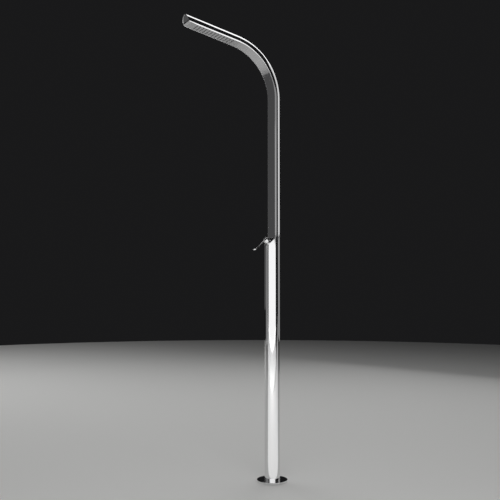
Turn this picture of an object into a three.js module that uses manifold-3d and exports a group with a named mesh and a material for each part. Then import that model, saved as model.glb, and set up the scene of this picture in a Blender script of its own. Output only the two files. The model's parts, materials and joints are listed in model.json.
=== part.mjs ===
// Outdoor shower column of polished stainless steel.
//
// Frame: millimetres, +Z up. The origin is on the column's axis at the floor, and the arm
// reaches out along -Y, which is called forward here. X is the side direction.
// One round tube makes the column and the arm. Above the mixer its front is cut away and closed
// by a flat plate, and the same D-shaped section is bent forward over the user's head.
import * as THREE from "three";
import { mergeVertices } from "three/addons/utils/BufferGeometryUtils.js";
import Module from "manifold-3d";

const wasm = await Module();
wasm.setup();

// ---------------------------------------------------------------- driving dimensions, mm and degrees
const GAP = 0.3; // between pieces that touch
const ROUND = 40; // sides of a large circle
const SMALL_ROUND = 16; // sides of a small circle

const tube = { radius: 38.05, wall: 2, flatOffset: 3.2 }; // the flat front lies flatOffset before the axis
const bend = { start: 1902, radius: 266.3, steps: 18 };
const arm = { rise: 13.5, kneeLength: 260, lipRun: 12, lipRise: 7.2, endLean: 25.2 };
const plate = { thickness: 2, inset: 0.8 }; // every closing plate sits a little below the tube's rim

const cut = { slope: 49, height: 1203.1 }; // oblique cut: its slope, and its height at the flat front

const gasket = { thickness: 1 };
const floorPlate = { thickness: 5, rosetteClearance: 1 };
const spigot = { wall: 2.7, height: 60 };
const spigotScrew = { radius: 3.1, length: 6.2, height: 30, spread: 40, depth: 0.5 };
const anchor = { radius: 3.3, headRadius: 6.3, headHeight: 3.2, rimDistance: 17, count: 4 };
const sinking = 0.3; // each countersunk head lies this far below the face around it
const rosette = { radius: 76, height: 10, wall: 2, edge: 1.6 };
const supply = { radius: 8, bore: 5, height: 24, wallClearance: 4.45 };

const hose = { radius: 6, sides: 10, steps: 24 };
const nut = { radius: 8.6, height: 11 };
const inlet = { spacing: 23, setback: 4, radius: 7, bore: 3.5, bottom: 1120 };
const outlet = { plateGap: 0.8, radius: 7, bore: 4, top: 1200 };

const mixer = { axisForward: 22, bodyWall: 4.4, bodyDepth: 46, crossBore: 3 };
const seal = { lip: 0.6, holeMargin: 1.6, thickness: 1.2 };
const cartridge = { radius: 12.6, length: 18.7 };
const ringNut = { height: 5, skirtClearance: 0.5 };
const carrier = { radius: 8.5, clearance: 0.5, rise: 2 };
const pivot = { height: 6.5, pinRadius: 1.5 }; // lift axis above the oblique cut's plane
const collar = { flangeOverlap: 3.4, flangeTop: 1.4, skirtDepth: 6.5 };
const dome = { carrierRoom: 2.1, wall: 2.6, rise: 2.5 }; // the collar's round neck
const stem = { side: 8, reachDown: 9.5, hubCover: 3.7 };
const hub = { rimWall: 1.3, neckClearance: 0.5, rimRise: 2, ceilingRise: 8.3, thickness: 7.4 };
const lever = {
  width: 14,
  thickness: 5,
  backOverhang: 10,
  length: 71,
  raise: 4.2,
  lipLength: 14.5,
  lipRaise: 30,
};
const leverScrew = { radius: 2, headRadius: 4, headHeight: 2.2, length: 16 };

const nozzle = { radius: 2.3, proud: 1.2, sides: 6 };
const rows = { first: 23.5, kneeMargin: 40, pitch: 16.3, spacing: 9, edgeMargin: 8 }; // the nozzle pattern
const mat = { thickness: 1.5, margin: 7.5, edge: 0.5 };
const chamber = { tubeClearance: 0.65, depth: 13.3, wall: 2, postRadius: 3.6 };
const chamberInlet = { radius: 6, length: 4 };
const chamberScrew = { radius: 1.5, headRadius: 2.8, headHeight: 1.5, length: 12, sideRows: 2.5 };

// ---------------------------------------------------------------- finishes
const finish = (name, color, roughness, metalness) =>
  new THREE.MeshStandardMaterial({ name, color, roughness, metalness });
const polished = finish("polished_steel", 0xd9dadb, 0.08, 1);
const brushed = finish("brushed_steel", 0x8f9194, 0.32, 1);
const brass = finish("brass", 0xc39a4c, 0.35, 1);
const braid = finish("steel_braid", 0x9a9ca0, 0.5, 1);
const rubber = finish("rubber", 0x1c1c1e, 0.85, 0);
const silicone = finish("silicone", 0x2a2b2d, 0.6, 0);
const plastic = finish("cartridge_plastic", 0xe4e2dc, 0.45, 0);

// ---------------------------------------------------------------- geometry helpers
const radians = THREE.MathUtils.degToRad;
const half = (value) => value / 2;

function solidOf(geometry) {
  const bare = geometry.clone();
  bare.deleteAttribute("normal");
  bare.deleteAttribute("uv");
  const merged = mergeVertices(bare);
  const vertProperties = merged.attributes.position.array;
  const triVerts = new Uint32Array(merged.index.array);
  return new wasm.Manifold(new wasm.Mesh({ numProp: 3, vertProperties, triVerts }));
}

function geometryOf(solid) {
  const made = solid.getMesh();
  const geometry = new THREE.BufferGeometry();
  geometry.setAttribute("position", new THREE.BufferAttribute(made.vertProperties, 3));
  geometry.setIndex(new THREE.BufferAttribute(made.triVerts, 1));
  return geometry;
}

function piece(name, solid, material) {
  const mesh = new THREE.Mesh(geometryOf(solid), material);
  mesh.name = name;
  return mesh;
}

const moved = (solid, matrix) => solidOf(geometryOf(solid).applyMatrix4(matrix));
const joined = (first, ...rest) => rest.reduce((sum, next) => sum.add(next), first);
const cutBy = (first, ...rest) => rest.reduce((sum, next) => sum.subtract(next), first);

// A box from its lowest to its highest corner.
function block(low, high) {
  const size = high.map((value, i) => value - low[i]);
  const middle = high.map((value, i) => half(value + low[i]));
  return solidOf(new THREE.BoxGeometry(...size).translate(...middle));
}

// A round or many-sided bar along Z, centred on x, y.
function bar(radius, bottom, top, x = 0, y = 0, sides = SMALL_ROUND, topRadius = radius) {
  const shape = new THREE.CylinderGeometry(topRadius, radius, top - bottom, sides);
  return solidOf(shape.rotateX(Math.PI / 2).translate(x, y, half(top + bottom)));
}

// A bar along X.
function crossBar(radius, halfLength, y, z, sides = 12) {
  const shape = new THREE.CylinderGeometry(radius, radius, 2 * halfLength, sides);
  return solidOf(shape.rotateZ(Math.PI / 2).translate(0, y, z));
}

// A countersunk screw along Z with its head's face at zero, or the hole for it when it has a clearance.
function countersunk(size, length, clearance = 0) {
  const shank = size.radius + clearance;
  const headRadius = size.headRadius + clearance;
  const head = bar(shank, -size.headHeight, 0, 0, 0, SMALL_ROUND, headRadius);
  const screw = head.add(bar(shank, -length, -half(size.headHeight)));
  return clearance > 0 ? screw.add(bar(headRadius, -half(clearance), 1)) : screw;
}

// A body of revolution about Z from a closed profile of [radius, height] points, outer side upwards.
function turned(profile, sides = ROUND) {
  const points = [...profile, profile[0]].map(([r, z]) => new THREE.Vector2(r, z));
  return solidOf(new THREE.LatheGeometry(points, sides).rotateX(Math.PI / 2));
}

// An outline of [y, z] points made into a solid that reaches halfWidth to each side.
function sideways(outline, halfWidth) {
  const shape = new THREE.Shape(outline.map(([y, z]) => new THREE.Vector2(y, z)));
  const geometry = new THREE.ExtrudeGeometry(shape, { depth: 2 * halfWidth, bevelEnabled: false });
  geometry.translate(0, 0, -halfWidth);
  const turn = new THREE.Matrix4().makeBasis(
    new THREE.Vector3(0, 1, 0),
    new THREE.Vector3(0, 0, 1),
    new THREE.Vector3(1, 0, 0),
  );
  return solidOf(geometry.applyMatrix4(turn));
}

const circle = (radius, sides) =>
  Array.from({ length: sides }, (_, i) => {
    const angle = (2 * Math.PI * i) / sides;
    return new THREE.Vector2(radius * Math.cos(angle), radius * Math.sin(angle));
  });

// The points of a line of [y, z] points moved to its left by a distance, with its corners kept sharp.
function offsetLine(points, distance) {
  const line = points.map(([y, z]) => new THREE.Vector2(y, z));
  const along = line.slice(1).map((point, i) => point.clone().sub(line[i]).normalize());
  return line.map((point, i) => {
    const before = along[Math.max(i - 1, 0)];
    const after = along[Math.min(i, along.length - 1)];
    const left = new THREE.Vector2(-before.y - after.y, before.x + after.x);
    const reach = (2 * distance) / left.lengthSq();
    return [point.x + left.x * reach, point.y + left.y * reach];
  });
}

// A strip between two offsets of a line.
const strip = (points, near, far) => [...offsetLine(points, near), ...offsetLine(points, far).reverse()];

// The column's path: up from a height, round the bend, then straight on along the arm. Each straight
// stretch is one step and the bend is bend.steps steps.
class ColumnPath extends THREE.Curve {
  constructor(bottom, armLength) {
    super();
    this.bottom = bottom;
    this.armLength = armLength;
    this.steps = bend.steps + (armLength > 0 ? 2 : 1);
  }

  angleAt(t) {
    return radians(90 - arm.rise) * THREE.MathUtils.clamp((t * this.steps - 1) / bend.steps, 0, 1);
  }

  getPoint(t, target = new THREE.Vector3()) {
    const step = t * this.steps;
    const angle = this.angleAt(t);
    const belowBend = (1 - Math.min(step, 1)) * (bend.start - this.bottom);
    const pastBend = Math.max(step - bend.steps - 1, 0) * this.armLength;
    const forward = bend.radius * (1 - Math.cos(angle)) + pastBend * Math.sin(angle);
    const height = bend.start + bend.radius * Math.sin(angle) + pastBend * Math.cos(angle) - belowBend;
    return target.set(0, -forward, height);
  }

  getTangent(t, target = new THREE.Vector3()) {
    const angle = this.angleAt(t);
    return target.set(0, -Math.sin(angle), Math.cos(angle));
  }

  getPointAt(t, target) {
    return this.getPoint(t, target);
  }

  getTangentAt(t, target) {
    return this.getTangent(t, target);
  }
}

// A section of (forward, side) points carried along the column's path.
function swept(section, bottom, armLength, holes = []) {
  const path = new ColumnPath(bottom, armLength);
  const shape = new THREE.Shape(section);
  shape.holes = holes.map((hole) => new THREE.Path(hole));
  return solidOf(new THREE.ExtrudeGeometry(shape, { steps: path.steps, extrudePath: path }));
}

const rectangle = (back, front, halfWidth) => [
  new THREE.Vector2(back, -halfWidth),
  new THREE.Vector2(front, -halfWidth),
  new THREE.Vector2(front, halfWidth),
  new THREE.Vector2(back, halfWidth),
];

// ---------------------------------------------------------------- shared frames and levels
const innerRadius = tube.radius - tube.wall;
const plateFront = tube.flatOffset - plate.inset;
const plateBack = plateFront - plate.thickness;
const plateHalfWidth = Math.sqrt(innerRadius ** 2 - plateFront ** 2) - 2 * GAP;

// Sizes that follow from what a piece fits in or goes round.
const spigotRadius = innerRadius - GAP;
const outletSetback = nut.radius + outlet.plateGap - plateBack;
const supplySpacing = 2 * (spigotRadius - spigot.wall - nut.radius - supply.wallClearance);
const footRadius = rosette.radius - rosette.wall - floorPlate.rosetteClearance;
const anchorCircle = footRadius - anchor.rimDistance;
const bodyRadius = cartridge.radius + mixer.bodyWall;
const sealInner = cartridge.radius + seal.holeMargin;
const sealOuter = bodyRadius - seal.lip;
const bodyTop = -plate.inset - plate.thickness - seal.thickness - 2 * GAP;
const ringNutTop = -collar.skirtDepth - ringNut.skirtClearance;
const cartridgeTop = ringNutTop - ringNut.height - GAP;
const domeRadius = carrier.radius + dome.carrierRoom + dome.wall;
const socketRadius = domeRadius + hub.neckClearance;
const hubRadius = socketRadius + hub.rimWall;
const carrierTop = pivot.height + carrier.rise;
const ringNutInner = carrier.radius + carrier.clearance;
const hubTop = pivot.height + hub.ceilingRise + hub.thickness;
const stemTop = hubTop - stem.hubCover;
const stemBottom = pivot.height - stem.reachDown;

// Mixer frame: its Z is square to the oblique cut, its origin is on the cut's plane, and its Y points
// up and back.
const slope = radians(cut.slope);
const mixerGroup = new THREE.Group();
mixerGroup.position.set(
  0,
  -mixer.axisForward,
  cut.height - (mixer.axisForward - tube.flatOffset) * Math.tan(slope),
);
mixerGroup.rotation.x = slope;
mixerGroup.updateMatrixWorld();
const inMixer = (solid) => moved(solid, mixerGroup.matrixWorld);

// Arm frame: its origin is on the tube's axis where the bend ends, Z runs along the arm, Y points up.
const turn = radians(90 - arm.rise);
const armGroup = new THREE.Group();
armGroup.position.set(
  0,
  -bend.radius * (1 - Math.cos(turn)),
  bend.start + bend.radius * Math.sin(turn),
);
armGroup.rotation.x = turn;
armGroup.updateMatrixWorld();
const inArm = (solid) => moved(solid, armGroup.matrixWorld);

// The arm's end seen from the side, in the arm's frame: along the flat front, up the lip, up the end face.
const FAR = 2 * tube.radius;
const lipTop = [arm.lipRise - tube.flatOffset, arm.kneeLength + arm.lipRun];
const endSlope = Math.tan(radians(arm.endLean));
const armTop = lipTop[1] + endSlope * (tube.radius - lipTop[0]);
const knee = [-tube.flatOffset, arm.kneeLength];

// ---------------------------------------------------------------- levels at the foot
const floorPlateBottom = gasket.thickness + GAP;
const floorPlateTop = floorPlateBottom + floorPlate.thickness;
const tubeFoot = floorPlateTop + GAP;

const anchorPlaces = Array.from({ length: anchor.count }, (_, i) => {
  const angle = ((i + 0.5) * 2 * Math.PI) / anchor.count;
  return [anchorCircle * Math.cos(angle), anchorCircle * Math.sin(angle)];
});
const supplyPlaces = [-half(supplySpacing), half(supplySpacing)];

// A radial bar through the tube near its foot, at an angle from straight back.
function spigotBar(radius, from, to, angle) {
  const shape = new THREE.CylinderGeometry(radius, radius, to - from, 12);
  shape.translate(0, half(from + to), 0).rotateZ(radians(angle));
  return solidOf(shape.translate(0, 0, tubeFoot + spigotScrew.height));
}
const spigotAngles = [-spigotScrew.spread, spigotScrew.spread];

// ---------------------------------------------------------------- column and arm
function columnTube() {
  const whole = swept(circle(tube.radius, ROUND), tubeFoot, armTop + tube.radius, [
    circle(innerRadius, ROUND),
  ]);
  const front = swept(rectangle(tube.flatOffset, FAR, FAR), cut.height - FAR, armTop + FAR);
  const belowCut = inMixer(block([-FAR, -2 * FAR, -2 * FAR], [FAR, 2 * FAR, 0]));
  const pastEnd = sideways(
    [
      [knee[0] - arm.lipRise, knee[1] - arm.lipRun],
      lipTop,
      [FAR, lipTop[1] + endSlope * (FAR - lipTop[0])],
      [FAR, armTop + 3 * FAR],
      [knee[0] - arm.lipRise, armTop + 3 * FAR],
    ],
    FAR,
  );
  const holes = spigotAngles.map((angle) =>
    spigotBar(spigotScrew.radius + GAP, half(innerRadius), FAR, angle),
  );
  return cutBy(whole, front.subtract(belowCut), inArm(pastEnd), ...holes);
}

function frontPlate() {
  const blank = swept(rectangle(plateBack, plateFront, plateHalfWidth), cut.height - FAR, 0);
  const belowValvePlate = inMixer(block([-FAR, -2 * FAR, -2 * FAR], [FAR, 2 * FAR, GAP - plate.inset]));
  return blank.subtract(belowValvePlate);
}

const rowCount = 1 + Math.floor((arm.kneeLength - rows.kneeMargin - rows.first) / rows.pitch);
const rowPlaces = Array.from({ length: rowCount }, (_, i) => rows.first + i * rows.pitch);
const acrossCount = 1 + Math.floor((2 * (plateHalfWidth - rows.edgeMargin)) / rows.spacing);
const acrossPlaces = Array.from(
  { length: acrossCount },
  (_, i) => (i - half(acrossCount - 1)) * rows.spacing,
);
const lastRow = rowPlaces[rowCount - 1];
const matStart = rows.first - mat.margin;
const matEnd = lastRow + mat.margin;
const screwRows = [rows.first + half(rows.pitch), lastRow - half(rows.pitch)];
const chamberScrewSide = chamberScrew.sideRows * rows.spacing;
const chamberScrewPlaces = screwRows.flatMap((z) => [
  [-chamberScrewSide, z],
  [chamberScrewSide, z],
]);
const matTop = -plateBack + GAP + mat.thickness;
const chamberTop = matTop + GAP + chamber.depth;
const chamberHalfWidth = Math.sqrt(innerRadius ** 2 - chamberTop ** 2) - chamber.tubeClearance;
const matHalfWidth = chamberHalfWidth - mat.edge;

// Upright bars in the arm's frame, along Y, at every nozzle.
function nozzleBars(radius, low, high) {
  const places = rowPlaces.flatMap((z) => acrossPlaces.map((x) => [x, z]));
  const bars = places.map(([x, z]) => {
    const shape = new THREE.CylinderGeometry(radius, radius, high - low, nozzle.sides);
    return solidOf(shape.translate(x, half(high + low), z));
  });
  return wasm.Manifold.union(bars);
}

function screwBars(radius, low, high) {
  const bars = chamberScrewPlaces.map(([x, z]) => {
    const shape = new THREE.CylinderGeometry(radius, radius, high - low, 12);
    return solidOf(shape.translate(x, half(high + low), z));
  });
  return wasm.Manifold.union(bars);
}

// A chamber screw's place: its head faces down, just inside the plate's outer face.
function chamberScrewAt(x, z, clearance) {
  const place = new THREE.Matrix4().makeRotationX(Math.PI / 2).setPosition(x, sinking - plateFront, z);
  return moved(countersunk(chamberScrew, chamberScrew.length, clearance), place);
}

function sprayPlate() {
  const lipLength = Math.hypot(arm.lipRun, arm.lipRise);
  const shortened = 1 - (plate.inset + plate.thickness + 2 * GAP) / lipLength;
  const lipEnd = [knee[0] + arm.lipRise * shortened, knee[1] + arm.lipRun * shortened];
  const side = [[-tube.flatOffset, GAP], knee, lipEnd];
  const blank = sideways(strip(side, -plate.inset, -plate.inset - plate.thickness), plateHalfWidth);
  const heads = chamberScrewPlaces.map(([x, z]) => chamberScrewAt(x, z, GAP));
  return cutBy(blank, nozzleBars(nozzle.radius + GAP, -tube.radius, tube.radius), ...heads);
}

function tipCap() {
  const [y, z] = lipTop;
  const start = 2 * plate.inset;
  const side = [
    [y + start, z + start * endSlope],
    [FAR, z + endSlope * (FAR - y)],
  ];
  const slab = sideways(strip(side, -plate.inset, -plate.inset - plate.thickness), FAR);
  return slab.intersect(bar(innerRadius - GAP, 0, armTop + FAR, 0, 0, ROUND));
}

function nozzleMat() {
  const sheet = block([-matHalfWidth, -plateBack + GAP, matStart], [matHalfWidth, matTop, matEnd]);
  const nozzles = nozzleBars(nozzle.radius, -plateFront - nozzle.proud, half(matTop));
  return sheet.add(nozzles).subtract(screwBars(chamberScrew.radius + GAP, -tube.radius, tube.radius));
}

function sprayChamber() {
  const bottom = matTop + GAP;
  const inside = chamberHalfWidth - chamber.wall;
  const box = block([-chamberHalfWidth, bottom, matStart], [chamberHalfWidth, chamberTop, matEnd]);
  const hollow = block(
    [-inside, bottom - 1, matStart + chamber.wall],
    [inside, chamberTop - chamber.wall, matEnd - chamber.wall],
  );
  const posts = screwBars(chamber.postRadius, bottom, chamberTop - half(chamber.wall));
  const inletStub = bar(chamberInlet.radius, matStart - chamberInlet.length, matStart + 1, 0, outletSetback);
  const inletBore = bar(outlet.bore, matStart - FAR, matStart + 2 * chamber.wall, 0, outletSetback, 12);
  const screwHoles = screwBars(chamberScrew.radius + GAP, 0, chamberScrew.length);
  return joined(box.subtract(hollow), posts, inletStub).subtract(inletBore).subtract(screwHoles);
}

// ---------------------------------------------------------------- foot
function baseGasket() {
  const holes = supplyPlaces.map((x) => bar(supply.radius + GAP, -1, FAR, x));
  const anchorHoles = anchorPlaces.map(([x, y]) => bar(anchor.radius + GAP, -1, FAR, x, y, 12));
  return cutBy(bar(footRadius, 0, gasket.thickness, 0, 0, ROUND), ...holes, ...anchorHoles);
}

// An upright anchor screw, with its head just below the floor plate's face.
function anchorScrewAt(x, y, bottom, clearance) {
  const top = floorPlateTop - sinking;
  const place = new THREE.Matrix4().makeTranslation(x, y, top);
  return moved(countersunk(anchor, top - bottom, clearance), place);
}

function floorPlateWithSpigot() {
  const spigotInner = spigotRadius - spigot.wall;
  const profile = [
    [spigotInner, half(floorPlateBottom + floorPlateTop)],
    [spigotRadius, half(floorPlateBottom + floorPlateTop)],
    [spigotRadius, floorPlateTop + spigot.height],
    [spigotInner, floorPlateTop + spigot.height],
  ];
  const disc = bar(footRadius, floorPlateBottom, floorPlateTop, 0, 0, ROUND);
  const supplyHoles = supplyPlaces.map((x) => bar(supply.radius + GAP, -1, FAR, x));
  const anchorHoles = anchorPlaces.map(([x, y]) => anchorScrewAt(x, y, -1, GAP));
  const screwHoles = spigotAngles.map((angle) =>
    spigotBar(spigotScrew.radius + GAP, half(innerRadius), FAR, angle),
  );
  return cutBy(disc.add(turned(profile)), ...supplyHoles, ...anchorHoles, ...screwHoles);
}

function floorRosette() {
  const inner = tube.radius + 1.5 * GAP;
  const underside = rosette.height - rosette.wall;
  const edge = rosette.radius - rosette.edge;
  const rounded = [0, 45, 90].map((angle) => [
    edge + rosette.edge * Math.cos(radians(angle)),
    rosette.height - rosette.edge + rosette.edge * Math.sin(radians(angle)),
  ]);
  return turned([
    [inner, underside],
    [rosette.radius - rosette.wall, underside],
    [rosette.radius - rosette.wall, GAP],
    [rosette.radius, GAP],
    ...rounded,
    [inner, rosette.height],
  ]);
}

function rosetteSeal() {
  const bottom = floorPlateTop + GAP;
  const top = rosette.height - rosette.wall - GAP;
  const inner = tube.radius + GAP;
  const outer = inner + rosette.wall;
  return turned([
    [inner, bottom],
    [outer, bottom],
    [outer, top],
    [inner, top],
  ]);
}

function supplyNipple(x) {
  const outer = bar(supply.radius, GAP, supply.height, x);
  return outer.subtract(bar(supply.bore, -1, FAR, x));
}

// ---------------------------------------------------------------- water lines
function hexNut(bottom, x, y, bore) {
  const body = bar(nut.radius, bottom, bottom + nut.height, x, y, 6);
  return body.subtract(bar(bore, bottom - 1, bottom + nut.height + 1, x, y));
}

// A feed hose from its foot nut to the mixer's inlet, upright at both ends.
function feedHose(side) {
  const bottom = supply.height + nut.height + 2 * GAP;
  const top = inlet.bottom - nut.height - 2 * GAP;
  const foot = new THREE.Vector3(side * half(supplySpacing), 0, bottom);
  const head = new THREE.Vector3(side * half(inlet.spacing), inlet.setback, top);
  const pull = (top - bottom) / 3;
  const path = new THREE.CubicBezierCurve3(
    foot,
    foot.clone().setZ(bottom + pull),
    head.clone().setZ(top - pull),
    head,
  );
  const shape = new THREE.Shape(circle(hose.radius, hose.sides));
  return solidOf(new THREE.ExtrudeGeometry(shape, { steps: hose.steps, extrudePath: path }));
}

// The riser from the mixer's outlet up the column and round the bend to the arm's start.
function outletHose() {
  const section = circle(hose.radius, hose.sides).map((point) => point.setX(point.x - outletSetback));
  return swept(section, outlet.top + nut.height + 2 * GAP, 0);
}

// ---------------------------------------------------------------- mixer, in its own frame unless it says so
// The oblique plate under the cut, in the column's frame.
function valvePlate() {
  const slab = block([-FAR, -FAR, -plate.inset - plate.thickness], [FAR, FAR, -plate.inset]);
  const hole = bar(cartridge.radius + 2 * GAP, -FAR, FAR, 0, 0, ROUND);
  const middle = mixerGroup.position.z;
  const inside = bar(innerRadius - GAP, middle - FAR, middle + FAR, 0, 0, ROUND);
  const ahead = block(
    [-FAR, -FAR, cut.height - 2 * FAR],
    [FAR, -plateBack, cut.height + 2 * FAR],
  );
  return inMixer(slab.subtract(hole)).intersect(inside).intersect(ahead);
}

const boreBottom = cartridgeTop - cartridge.length - GAP;

// The valve block, in the column's frame: a turned body square to the plate, with upright ports.
function mixerBody() {
  const body = inMixer(bar(bodyRadius, bodyTop - mixer.bodyDepth, bodyTop, 0, 0, ROUND));
  const centre = new THREE.Vector3(0, 0, half(boreBottom + bodyTop - mixer.bodyDepth));
  centre.applyMatrix4(mixerGroup.matrixWorld);
  const sides = [-half(inlet.spacing), half(inlet.spacing)];
  const inlets = sides.map((x) => bar(inlet.radius, inlet.bottom, centre.z, x, inlet.setback));
  const outletStub = bar(outlet.radius, centre.z, outlet.top, 0, outletSetback);
  const bore = inMixer(bar(cartridge.radius + GAP, boreBottom, bodyTop + 1, 0, 0, 32));
  const boreTop = centre.z + inlet.radius;
  const inletBores = sides.map((x) => bar(inlet.bore, inlet.bottom - 1, boreTop, x, inlet.setback, 12));
  const crossHeight = mixerGroup.position.z - bodyRadius / 2;
  const outletBore = bar(outlet.bore, crossHeight - mixer.crossBore, outlet.top + 1, 0, outletSetback, 12);
  const cross = new THREE.CylinderGeometry(mixer.crossBore, mixer.crossBore, outletSetback, 12);
  cross.translate(0, half(outletSetback), crossHeight);
  return cutBy(joined(body, ...inlets, outletStub), bore, ...inletBores, outletBore, solidOf(cross));
}

const ringProfile = (inner, outer, bottom, top) => [
  [inner, bottom],
  [outer, bottom],
  [outer, top],
  [inner, top],
];

function stemCarrier() {
  const bottom = cartridgeTop + GAP;
  const slot = half(stem.side) + GAP;
  const neck = bar(carrier.radius, bottom, carrierTop, 0, 0, 32);
  const opening = block([-slot, -FAR, stemBottom - 2], [slot, FAR, FAR]);
  return cutBy(neck, opening, crossBar(pivot.pinRadius + GAP, FAR, 0, pivot.height));
}

function cartridgeStem() {
  const side = half(stem.side);
  const shank = block([-side, -side, stemBottom], [side, side, stemTop]);
  const screwHole = bar(leverScrew.radius + GAP, pivot.height + 3, FAR, 0, 0, 12);
  return cutBy(shank, crossBar(pivot.pinRadius + GAP, FAR, 0, pivot.height), screwHole);
}

// The fixed polished collar: a skirt that screws into the body, a flange, and a round neck for the hub
// to tilt on.
function mixerCollar() {
  const domeStart = Math.asin((collar.flangeTop - pivot.height) / domeRadius);
  const domeEnd = Math.asin(dome.rise / domeRadius);
  const steps = 4;
  const arc = (radius) =>
    Array.from({ length: steps + 1 }, (_, i) => {
      const angle = domeStart + ((domeEnd - domeStart) * i) / steps;
      return [radius * Math.cos(angle), pivot.height + radius * Math.sin(angle)];
    });
  const skirtInner = ringNutInner + 2 * GAP;
  const flangeRadius = cartridge.radius + collar.flangeOverlap;
  return turned([
    [skirtInner, -collar.skirtDepth],
    [cartridge.radius, -collar.skirtDepth],
    [cartridge.radius, GAP - plate.inset],
    [flangeRadius, GAP - plate.inset],
    [flangeRadius, collar.flangeTop],
    ...arc(domeRadius),
    ...arc(domeRadius - dome.wall).reverse(),
    [skirtInner, GAP - plate.inset],
  ]);
}

// The lever's underside seen from the side: back end, knee, lip end. Forward is -Y.
const leverSlope = Math.tan(radians(lever.raise));
const leverLine = [
  [lever.backOverhang, hubTop - lever.backOverhang * leverSlope],
  [-lever.length, hubTop + lever.length * leverSlope],
  [
    -lever.length - lever.lipLength * Math.cos(radians(lever.lipRaise)),
    hubTop + lever.length * leverSlope + lever.lipLength * Math.sin(radians(lever.lipRaise)),
  ],
];

function leverHandle() {
  const blank = sideways(strip(leverLine, 0, -lever.thickness), half(lever.width));
  return blank.subtract(leverScrewShape(GAP));
}

function leverScrewShape(clearance) {
  const top = hubTop + lever.thickness - sinking;
  const place = new THREE.Matrix4().makeTranslation(0, 0, top);
  return moved(countersunk(leverScrew, leverScrew.length, clearance), place);
}

// The hub tilts on the collar's round neck, and its top slopes as the lever's underside does.
function leverHub() {
  const wide = hubRadius + 1;
  const blank = bar(hubRadius, pivot.height + hub.rimRise, hubTop + wide, 0, 0, ROUND);
  const overLeverSeat = sideways(
    [
      [-wide, hubTop + wide * leverSlope - GAP],
      [wide, hubTop - wide * leverSlope - GAP],
      [wide, hubTop + FAR],
      [-wide, hubTop + FAR],
    ],
    FAR,
  );
  const ball = new THREE.SphereGeometry(socketRadius, 32, 16);
  const socket = solidOf(ball.rotateX(Math.PI / 2).translate(0, 0, pivot.height));
  const underCeiling = block([-FAR, -FAR, -FAR], [FAR, FAR, pivot.height + hub.ceilingRise]);
  const stemHole = half(stem.side) + GAP;
  const stemSocket = block([-stemHole, -stemHole, 0], [stemHole, stemHole, stemTop + GAP]);
  return cutBy(blank, overLeverSeat, socket.intersect(underCeiling), stemSocket, leverScrewShape(GAP));
}

// ---------------------------------------------------------------- assembly
const shower = new THREE.Group();
shower.add(
  piece("column_tube", columnTube(), polished),
  piece("front_plate", frontPlate(), brushed),
  piece("valve_plate", valvePlate(), polished),
  piece("mixer_body", mixerBody(), brass),
  piece("outlet_hose", outletHose(), braid),
);

const armNutBottom = matStart - chamberInlet.length - nut.height - GAP;
armGroup.add(
  piece("spray_plate", sprayPlate(), brushed),
  piece("tip_cap", tipCap(), polished),
  piece("nozzle_mat", nozzleMat(), silicone),
  piece("spray_chamber", sprayChamber(), brushed),
  piece("outlet_nut_arm", hexNut(armNutBottom, 0, outletSetback, outlet.bore), brass),
);
chamberScrewPlaces.forEach(([x, z], i) => {
  armGroup.add(piece(`chamber_screw_${i + 1}`, chamberScrewAt(x, z, 0), polished));
});

const stemPin = crossBar(pivot.pinRadius, carrier.radius - 1, 0, pivot.height);
const cartridgeBody = bar(cartridge.radius, cartridgeTop - cartridge.length, cartridgeTop, 0, 0, 32);
const sealBottom = bodyTop + GAP;
const sealProfile = ringProfile(sealInner, sealOuter, sealBottom, sealBottom + seal.thickness);
const ringNutBottom = cartridgeTop + GAP;
const ringNutProfile = ringProfile(
  ringNutInner,
  cartridge.radius,
  ringNutBottom,
  ringNutBottom + ringNut.height,
);
mixerGroup.add(
  piece("mixer_seal", turned(sealProfile, 32), rubber),
  piece("cartridge", cartridgeBody, plastic),
  piece("cartridge_nut", turned(ringNutProfile, 32), brass),
  piece("mixer_collar", mixerCollar(), polished),
  piece("stem_carrier", stemCarrier(), plastic),
  piece("stem_pin", stemPin, brushed),
  piece("cartridge_stem", cartridgeStem(), brass),
  piece("lever_hub", leverHub(), polished),
  piece("lever_handle", leverHandle(), polished),
  piece("lever_screw", leverScrewShape(0), brushed),
);

shower.add(
  piece("base_gasket", baseGasket(), rubber),
  piece("floor_plate", floorPlateWithSpigot(), brushed),
  piece("floor_rosette", floorRosette(), polished),
  piece("rosette_seal", rosetteSeal(), rubber),
);
anchorPlaces.forEach(([x, y], i) => {
  shower.add(piece(`anchor_screw_${i + 1}`, anchorScrewAt(x, y, GAP, 0), brushed));
});
spigotAngles.forEach((angle, i) => {
  const outerEnd = tube.radius - spigotScrew.depth;
  const screw = spigotBar(spigotScrew.radius, outerEnd - spigotScrew.length, outerEnd, angle);
  shower.add(piece(`foot_screw_${i + 1}`, screw, brushed));
});
const inletNutBottom = inlet.bottom - nut.height - GAP;
["cold", "hot"].forEach((name, i) => {
  const side = i === 0 ? 1 : -1;
  const foot = side * half(supplySpacing);
  const head = side * half(inlet.spacing);
  shower.add(
    piece(`${name}_supply_nipple`, supplyNipple(foot), brass),
    piece(`${name}_foot_nut`, hexNut(supply.height + GAP, foot, 0, supply.bore), brass),
    piece(`${name}_hose`, feedHose(side), braid),
    piece(`${name}_inlet_nut`, hexNut(inletNutBottom, head, inlet.setback, inlet.bore), brass),
  );
});
shower.add(piece("outlet_nut_mixer", hexNut(outlet.top + GAP, 0, outletSetback, outlet.bore), brass));
shower.add(mixerGroup, armGroup);

export default shower;
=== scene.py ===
"""Outdoor shower column of polished stainless steel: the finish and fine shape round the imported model.

Metres, +Z up, the origin on the column's axis at the floor. Forward, where the arm reaches, is -Y.
"""
import json
import math

import bpy
from mathutils import Matrix, Vector


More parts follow.
